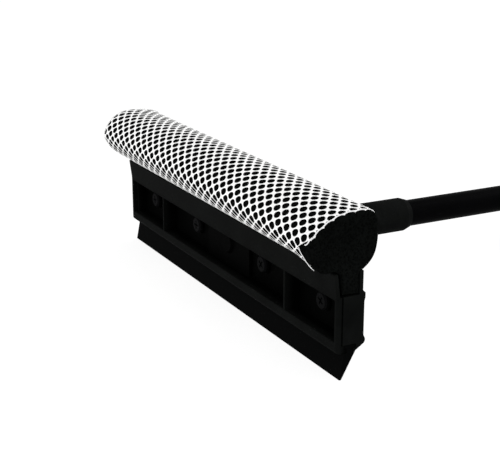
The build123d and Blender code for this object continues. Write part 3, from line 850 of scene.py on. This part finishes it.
cell_info = add(net_tree, "GeometryNodeObjectInfo", {"Object": take["Cell"]})
spread = add(net_tree, "GeometryNodeInstanceOnPoints", {
    "Points": kept.outputs[0], "Instance": cell_info.outputs["Geometry"]})
real = add(net_tree, "GeometryNodeRealizeInstances", {"Geometry": spread.outputs[0]})
joined = add(net_tree, "GeometryNodeMergeByDistance", {"Geometry": real.outputs[0], "Distance": JOIN_WITHIN})
flat_measure = n_scaled(n_here(), 1 / MM)
flat_from_row = n_vector("SUBTRACT", flat_measure, (0.0, first_row_at / MM, 0.0))
mapped = add(net_tree, "GeometryNodeStoreNamedAttribute", {
    "Geometry": joined.outputs[0], "Name": "UVMap", "Value": flat_from_row},
    data_type="FLOAT2", domain="CORNER")
print("cells are joined within", 1000 * JOIN_WITHIN, "mm")

# %% [markdown]
# Not all rows are alike. Rows below the front and past the back corner are drawn apart, thinner and
# flatter. At the channel's mouth the net is gathered, which closes its holes, and on the crown the holes
# are a little smaller. Behind the crown the net is a little shorter, and in the channel more so. At the
# ends the outer loop of the last holes is pulled in, so that they are scalloped, and curls down over the
# foam.

# %% Pulled, gathered and shortened rows
THIN_OVER, GATHER_OVER, CLOSE_OVER = 4.0 * PITCH_ROUND, 2.0 * PITCH_ROUND, 4.0 * PITCH_ROUND
RECEDE_OVER, DEEP_OVER = 2.0 * PITCH_ROUND, 6.0 * PITCH_ROUND
DEEP_TIMES = 3.0
FLATTENED = 0.55


def n_past(first, second):
    """How far the first number is past the second, or 0."""
    return n_calc("MAXIMUM", n_calc("SUBTRACT", first, second), 0.0)


up_the_net = n_parts(n_here())[1]
pulled = n_calc("ADD", n_past(take["Thin from"], up_the_net), n_past(up_the_net, take["Pull back from"]))
pulled = ramp(net_tree, pulled, 0.0, THIN_OVER)
gathered = ramp(net_tree, n_calc("SUBTRACT", take["Gathered from"], up_the_net), 0.0, GATHER_OVER)
crown = ramp(net_tree, n_calc("SUBTRACT", up_the_net, take["Crown from"]), 0.0, CLOSE_OVER)
closed = n_calc("ADD", n_calc("MULTIPLY", gathered, take["Gathered"]),
                n_calc("MULTIPLY", crown, take["Crown closed"]))
thin_way = add(net_tree, "GeometryNodeInputNamedAttribute", {"Name": "thinning"}, data_type="FLOAT_VECTOR")
thinner = n_scaled(thin_way.outputs[0], n_calc("SUBTRACT", pulled, closed))
spot = n_parts(n_vector("ADD", n_here(), thinner))
extra = n_calc("SUBTRACT", take["Drawn apart"], 1.0)
below = n_past(take["Pull from"], spot[1])
beyond = n_past(spot[1], take["Pull back from"])
round_roll = n_calc("SUBTRACT", spot[1], n_calc("MULTIPLY", below, extra))
round_roll = n_calc("ADD", round_roll, n_calc("MULTIPLY", beyond, extra))
thin = n_calc("MULTIPLY", spot[2], n_calc("SUBTRACT", 1.0, n_calc("MULTIPLY", pulled, FLATTENED)))
behind = ramp(net_tree, n_calc("SUBTRACT", up_the_net, take["Receding from"]), 0.0, RECEDE_OVER)
deep = n_calc("MULTIPLY", ramp(net_tree, beyond, 0.0, DEEP_OVER), DEEP_TIMES)
shorten = n_calc("SUBTRACT", 1.0, n_calc("MULTIPLY", n_calc("ADD", behind, deep), take["Tuck in"]))
print("threads are up to", round(100 * FLATTENED), "percent flatter where they are pulled")

# %% Scalloped ends that curl over the foam
END_DRAWN_IN = 0.62

reach = n_calc("ABSOLUTE", spot[0])
over = n_calc("MULTIPLY", n_past(reach, take["End hole"]), END_DRAWN_IN)
drawn_in = n_calc("MULTIPLY", n_calc("SUBTRACT", reach, over), shorten)
along_x = n_calc("ADD", n_calc("MULTIPLY", drawn_in, n_calc("SIGN", spot[0])), take["Shift"])
past = n_past(n_calc("ABSOLUTE", along_x), take["Curl from"])
curl = n_calc("DIVIDE", n_calc("MULTIPLY", past, past), n_calc("MULTIPLY", take["Curl radius"], 2.0))
raised = n_calc("SUBTRACT", thin, curl)
print("end holes are drawn in by", round(100 * END_DRAWN_IN), "percent")

# %% Wrap on the blended sections
t = n_calc("DIVIDE", along_x, take["Half length"])
t2 = n_calc("MULTIPLY", t, t)
droop = ramp(net_tree, along_x, take["Droop from"], take["Half length"])
droop = n_calc("MULTIPLY", droop, droop)
weights = {
    "Far section": n_calc("MULTIPLY", n_calc("SUBTRACT", t2, t), 0.5),
    "Middle section": n_calc("SUBTRACT", 1.0, t2),
    "Near section": n_calc("SUBTRACT", n_calc("MULTIPLY", n_calc("ADD", t2, t), 0.5), droop),
    "Drooping section": droop,
}
share = n_calc("DIVIDE", round_roll, take["Round length"])


def answering_share(name):
    """The place on another section that answers to a share of the middle one."""
    follow = add(net_tree, "ShaderNodeFloatCurve", {"Value": share})
    knots = follow.mapping.curves[0].points
    for own, other in list(zip(followed_shares["middle"], followed_shares[name]))[1:-1]:
        knots.new(own, other)
    for knot in knots:
        knot.handle_type = "VECTOR"
    follow.mapping.update()
    return follow.outputs[0]


place = heading = None
for label, weight in weights.items():
    curve = add(net_tree, "GeometryNodeObjectInfo", {"Object": take[label]})
    name = label.split()[0].lower()
    look = add(net_tree, "GeometryNodeSampleCurve", {
        "Curves": curve.outputs["Geometry"], "Factor": answering_share(name)}, mode="FACTOR")
    part, turn = (n_scaled(look.outputs[key], weight) for key in ("Position", "Tangent"))
    place = n_vector("ADD", place, part) if place else part
    heading = n_vector("ADD", heading, turn) if heading else turn
outward = n_vector("NORMALIZE", n_vector("CROSS_PRODUCT", (1.0, 0.0, 0.0), heading))
there = n_vector("ADD", place, add(net_tree, "ShaderNodeCombineXYZ", {0: along_x}).outputs[0])
there = n_vector("ADD", there, n_scaled(outward, raised))
wrapped = add(net_tree, "GeometryNodeSetPosition", {"Geometry": mapped.outputs[0], "Position": there})
smooth = add(net_tree, "GeometryNodeSetShadeSmooth", {"Geometry": wrapped.outputs[0]})
last_real = add(net_tree, "GeometryNodeRealizeInstances", {"Geometry": smooth.outputs[0]})
painted = add(net_tree, "GeometryNodeSetMaterial", {
    "Geometry": last_real.outputs[0], "Material": take["Thread"]})
add(net_tree, "NodeGroupOutput", {0: painted.outputs[0]})
print("nodes in the net's tree:", len(net_tree.nodes))

# %% [markdown]
# ## The net's edges
# A knitted sleeve is finished at each end with a thin cord, which closes the last holes. At the right end
# the cord has come away at the front: a loose thread hangs down the foam's edge and a broken one hooks
# back. The cords follow the same sections as the foam, as thin tubes along a row of points.

# %% Cords
HEM_AT = 148.9 * MM
HEM_BEHIND = 1.6 * MM
HEM_WAVE = 0.3 * MM
HEM_RADIUS = 0.4 * MM
HEM_LIFT = -0.35 * MM
BACK_LIFT = 0.5 * MM
BACK_RADIUS = 0.2 * MM
LOOSE_RADIUS = 0.26 * MM
HOOK_RADIUS = 0.34 * MM
CORD_TIP, CORD_TAPER = 0.35, 0.15
HEM_FROM_ROW = -1.0
CORD_OVERLAP, SHORT_OF_MOUTH = 0.3, 0.5
NEARLY_ALONG_ROLL = 0.05
LOOSE_THREAD = [
    (140.6, -19.7, 45.0), (142.2, -19.6, 42.8), (143.4, -18.9, 40.9), (145.4, -17.5, 37.5),
    (147.4, -15.5, 34.3), (148.4, -14.2, 32.8)]
HOOK = [
    (149.4, -16.6, 52.2), (149.5, -18.4, 50.6), (149.7, -19.6, 49.4), (149.8, -20.8, 48.9),
    (149.9, -21.6, 49.2)]


def add_cord(bm, path, radius, sides=6):
    """A thin tube along a path of points, which tapers at its last points and is closed at both ends."""
    rings = []
    for k, at in enumerate(path):
        ahead = (path[min(k + 1, len(path) - 1)] - path[max(k - 1, 0)]).normalized()
        side = ahead.cross(Vector((1.0, 0.0, 0.0)))
        side = side.normalized() if side.length > NEARLY_ALONG_ROLL else Vector((0.0, 1.0, 0.0))
        up = side.cross(ahead)
        turns = [2 * math.pi * j / sides for j in range(sides)]
        thick = radius * min(1.0, CORD_TIP + CORD_TAPER * (len(path) - 1 - k))
        rings.append([bm.verts.new(at + thick * (math.cos(a) * side + math.sin(a) * up)) for a in turns])
    for first, second in zip(rings, rings[1:]):
        for j in range(sides):
            m = (j + 1) % sides
            bm.faces.new((first[j], first[m], second[m], second[j]))
    bm.faces.new(rings[0])
    bm.faces.new(rings[-1])


def hem(x, first_row, last_row):
    """A path round one end between two rows, which waves with the holes and draws back behind the crown."""
    path, outward = section_at(x)
    behind = HEM_BEHIND * behind_crown - HEM_WAVE * np.cos(np.pi * walked_rows)
    out = path + outward * (HEM_LIFT + (BACK_LIFT - HEM_LIFT) * behind_crown)[:, None]
    return [
        Vector((math.copysign(abs(x) - back, x), y, z))
        for row, back, (y, z) in zip(walked_rows, behind, out) if first_row <= row <= last_row
    ]


def smooth_path(points, steps=4):
    """A rounder path through points given in the head's millimetres."""
    at = [HEAD_ZERO + Vector(p) * MM for p in points]
    ends = [at[0], *at, at[-1]]
    path = []
    for a, b, c, d in zip(ends, ends[1:], ends[2:], ends[3:]):
        bend, swing = 2 * a - 5 * b + 4 * c - d, 3 * b - a - 3 * c + d
        for t in (k / steps for k in range(steps)):
            path.append(0.5 * (2 * b + (c - a) * t + bend * t ** 2 + swing * t ** 3))
    return path + [at[-1]]


mouth_row = (back_mouth_at - front_row_at) / PITCH_ROUND - SHORT_OF_MOUTH
back_from_row = CROWN_ROW - CORD_OVERLAP
cords = [
    (hem(HEM_AT, HEM_FROM_ROW, CROWN_ROW), HEM_RADIUS),
    (hem(HEM_AT, back_from_row, mouth_row), BACK_RADIUS),
    (hem(-HEM_AT, -rows_below, CROWN_ROW), HEM_RADIUS),
    (hem(-HEM_AT, back_from_row, mouth_row), BACK_RADIUS),
    (smooth_path(LOOSE_THREAD), LOOSE_RADIUS),
    (smooth_path(HOOK), HOOK_RADIUS),
]
print("cords:", [len(path) for path, thick in cords], "points")

# %% Make the net
def plain_mesh(obj, name):
    """The evaluated object as a plain mesh object, with the modifier gone."""
    bpy.context.view_layer.update()
    made = obj.evaluated_get(bpy.context.evaluated_depsgraph_get())
    mesh = bpy.data.meshes.new_from_object(made)
    mesh.name = name
    old = obj.data
    obj.modifiers.clear()
    obj.data = mesh
    bpy.data.meshes.remove(old)
    return obj


TUCK_IN = 0.016
CURL_FROM = 147.0 * MM
CURL_RADIUS = 4.0 * MM
FRAYED_FROM, FRAYED_ROWS = 140.0 * MM, 1.5
END_HOLE_SHARE = 0.2
GATHERED_ROW = 4.0
GATHERED = 2.6
CROWN_FROM_ROW = 4.0
CROWN_CLOSED = 0.45
net = bpy.data.objects.new("diamond_net", bpy.data.meshes.new("net_start"))
scene.collection.objects.link(net)
modifier = net.modifiers.new("net", "NODES")
modifier.node_group = net_tree
for label, value in {
    "Columns": COLUMNS, "Rows": ROWS, "Pitch along": PITCH_ALONG, "Pitch round": PITCH_ROUND,
    "First row": first_row_at, "Round length": round_length, "Half length": NET_HALF,
    "End hole": 0.5 * (COLUMNS - 1) * PITCH_ALONG + END_HOLE_SHARE * HOLE_ALONG, "Pull from": pull_from,
    "Pull back from": pull_back_from, "Drawn apart": DRAWN_APART, "Tuck in": TUCK_IN,
    "Shift": NET_SHIFT, "Curl from": CURL_FROM, "Curl radius": CURL_RADIUS,
    "Thin from": front_row_at - PITCH_ROUND, "Receding from": front_row_at + CROWN_ROW * PITCH_ROUND,
    "Frayed rows": rows_below - FRAYED_ROWS, "Frayed from": FRAYED_FROM, "Cell": net_cell,
    "Gathered from": front_row_at - GATHERED_ROW * PITCH_ROUND, "Gathered": GATHERED,
    "Crown from": front_row_at + CROWN_FROM_ROW * PITCH_ROUND, "Crown closed": CROWN_CLOSED,
    "Far section": section_curves["far"], "Middle section": section_curves["middle"],
    "Near section": section_curves["near"], "Drooping section": section_curves["drooping"],
    "Droop from": DROOP_FROM, "Thread": thread,
}.items():
    modifier[net_inputs[label].identifier] = value
plain_mesh(net, "diamond_net")
work = bmesh.new()
work.from_mesh(net.data)
free_edges = [e for e in work.edges if e.is_boundary]
bmesh.ops.bridge_loops(work, edges=free_edges)
for path, thick in cords:
    add_cord(work, path, thick)
bmesh.ops.recalc_face_normals(work, faces=work.faces)
open_left = sum(e.is_boundary for e in work.edges)
work.to_mesh(net.data)
work.free()
net.data.polygons.foreach_set("use_smooth", [True] * len(net.data.polygons))
print("net faces:", len(net.data.polygons), "open edges left:", open_left, "free before:", len(free_edges))

# %% [markdown]
# ## The screws
# The four clamp screws are alike, so one is made and a tree sets it at the four places. Its head has a
# bevelled edge and a cross slot, which a plain solid leaves out.

# %% One screw
SCREW_HEAD_RADIUS = 5.8 * MM
SCREW_BEVEL = 1.1 * MM
SCREW_HEAD_HEIGHT = 2.2 * MM
SCREW_SHANK_RADIUS = 1.9 * MM
SCREW_SHANK = 7.8 * MM
SLOT_HALF_LENGTH = 2.9 * MM
SLOT_HALF_WIDTH = 0.62 * MM
SLOT_DEPTH = 1.2 * MM
SLOT_TAPER = 0.8
ROUND_STEPS = 40


def ring_of(bm, radius, y):
    """A ring of points round the screw's axis."""
    turns = [2 * math.pi * k / ROUND_STEPS for k in range(ROUND_STEPS)]
    return [bm.verts.new((radius * math.cos(a), y, radius * math.sin(a))) for a in turns]


def bridge(bm, first, second):
    """Faces between two rings of as many points."""
    for k in range(len(first)):
        m = (k + 1) % len(first)
        bm.faces.new((first[k], first[m], second[m], second[k]))


screw_bm = bmesh.new()
front = ring_of(screw_bm, SCREW_HEAD_RADIUS - SCREW_BEVEL, -SCREW_HEAD_HEIGHT)
edge = ring_of(screw_bm, SCREW_HEAD_RADIUS, -SCREW_HEAD_HEIGHT + SCREW_BEVEL)
seat = ring_of(screw_bm, SCREW_HEAD_RADIUS, 0.0)
shank_top = ring_of(screw_bm, SCREW_SHANK_RADIUS, 0.0)
shank_end = ring_of(screw_bm, SCREW_SHANK_RADIUS, SCREW_SHANK)
for first, second in ((front, edge), (edge, seat), (seat, shank_top), (shank_top, shank_end)):
    bridge(screw_bm, first, second)
screw_bm.faces.new(shank_end)
cross = [
    (SLOT_HALF_WIDTH, SLOT_HALF_LENGTH), (SLOT_HALF_WIDTH, SLOT_HALF_WIDTH),
    (SLOT_HALF_LENGTH, SLOT_HALF_WIDTH)]
for quarter in range(3):
    cross += [(z, -x) for x, z in cross[-3:]]
slot_top = [screw_bm.verts.new((x, -SCREW_HEAD_HEIGHT, z)) for x, z in cross]
slot_low = [
    screw_bm.verts.new((SLOT_TAPER * x, -SCREW_HEAD_HEIGHT + SLOT_DEPTH, SLOT_TAPER * z)) for x, z in cross]
bridge(screw_bm, slot_top, slot_low)
screw_bm.faces.new(slot_low)
rim_edges = []
for ring in (front, slot_top):
    rim_edges += [screw_bm.edges.get((ring[k], ring[(k + 1) % len(ring)])) for k in range(len(ring))]
bmesh.ops.triangle_fill(screw_bm, use_beauty=True, use_dissolve=False, edges=rim_edges)
bmesh.ops.recalc_face_normals(screw_bm, faces=screw_bm.faces)
screw_mesh = bpy.data.meshes.new("one_screw")
screw_bm.to_mesh(screw_mesh)
screw_bm.free()
one_screw = bpy.data.objects.new("one_screw", screw_mesh)
scene.collection.objects.link(one_screw)
print("faces in a screw:", len(screw_mesh.polygons))

# %% Tree for the screws
SCREW_PLACES = (48.0 * MM, 121.0 * MM)
SCREW_HEIGHT = 2.5 * MM
SCREW_TURN = 0.7
screw_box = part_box("clamp_screws")
seat_y = screw_box[0].y + SCREW_HEAD_HEIGHT

screw_tree = bpy.data.node_groups.new("screws_in_pockets", "GeometryNodeTree")
screw_inputs = {
    label: new_input(screw_tree, label, kind)
    for label, kind in {"Spots": "NodeSocketObject", "Screw": "NodeSocketObject", "Turn": "NodeSocketFloat",
                        "Finish": "NodeSocketMaterial"}.items()
}
screw_tree.interface.new_socket("Screws", in_out="OUTPUT", socket_type="NodeSocketGeometry")
take = add(screw_tree, "NodeGroupInput").outputs
spots_info = add(screw_tree, "GeometryNodeObjectInfo", {"Object": take["Spots"]})
screw_info = add(screw_tree, "GeometryNodeObjectInfo", {"Object": take["Screw"]})
turned = calc(screw_tree, "MULTIPLY", add(screw_tree, "GeometryNodeInputIndex").outputs[0], take["Turn"])
rotation = add(screw_tree, "ShaderNodeCombineXYZ", {1: turned})
set_out = add(screw_tree, "GeometryNodeInstanceOnPoints", {
    "Points": spots_info.outputs["Geometry"], "Instance": screw_info.outputs["Geometry"],
    "Rotation": rotation.outputs[0]})
real = add(screw_tree, "GeometryNodeRealizeInstances", {"Geometry": set_out.outputs[0]})
painted = add(screw_tree, "GeometryNodeSetMaterial", {
    "Geometry": real.outputs[0], "Material": take["Finish"]})
add(screw_tree, "NodeGroupOutput", {0: painted.outputs[0]})

spots_mesh = bpy.data.meshes.new("screw_spots")
spots_mesh.from_pydata(
    [(side * x, seat_y, HEAD_ZERO.z + SCREW_HEIGHT) for x in SCREW_PLACES for side in (-1, 1)], [], [])
screw_spots = bpy.data.objects.new("screw_spots", spots_mesh)
scene.collection.objects.link(screw_spots)
screws = bpy.data.objects.new("pocket_screws", bpy.data.meshes.new("screws_start"))
scene.collection.objects.link(screws)
modifier = screws.modifiers.new("screws", "NODES")
modifier.node_group = screw_tree
screw_values = {"Spots": screw_spots, "Screw": one_screw, "Turn": SCREW_TURN, "Finish": screw_black}
for label, value in screw_values.items():
    modifier[screw_inputs[label].identifier] = value
plain_mesh(screws, "pocket_screws")
print("screws:", len(screws.data.polygons), "faces, box", [round(1000 * v, 1) for v in screws.dimensions])

# %% [markdown]
# ## Put the pieces on the part
# The helper curves and the single cell and screw have done their work and go. The sponge, the net and the
# screws ride on the head and stand in for their plain solids.

# %% Remove helpers and attach
for helper in [*section_curves.values(), net_cell, one_screw, screw_spots]:
    bpy.data.objects.remove(helper)
for piece, node, slot in (
        (sponge, "sponge", "foam"), (net, "net_cover", "net"), (screws, "clamp_screws", "black_screw")):
    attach(piece, "head")
    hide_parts(node)
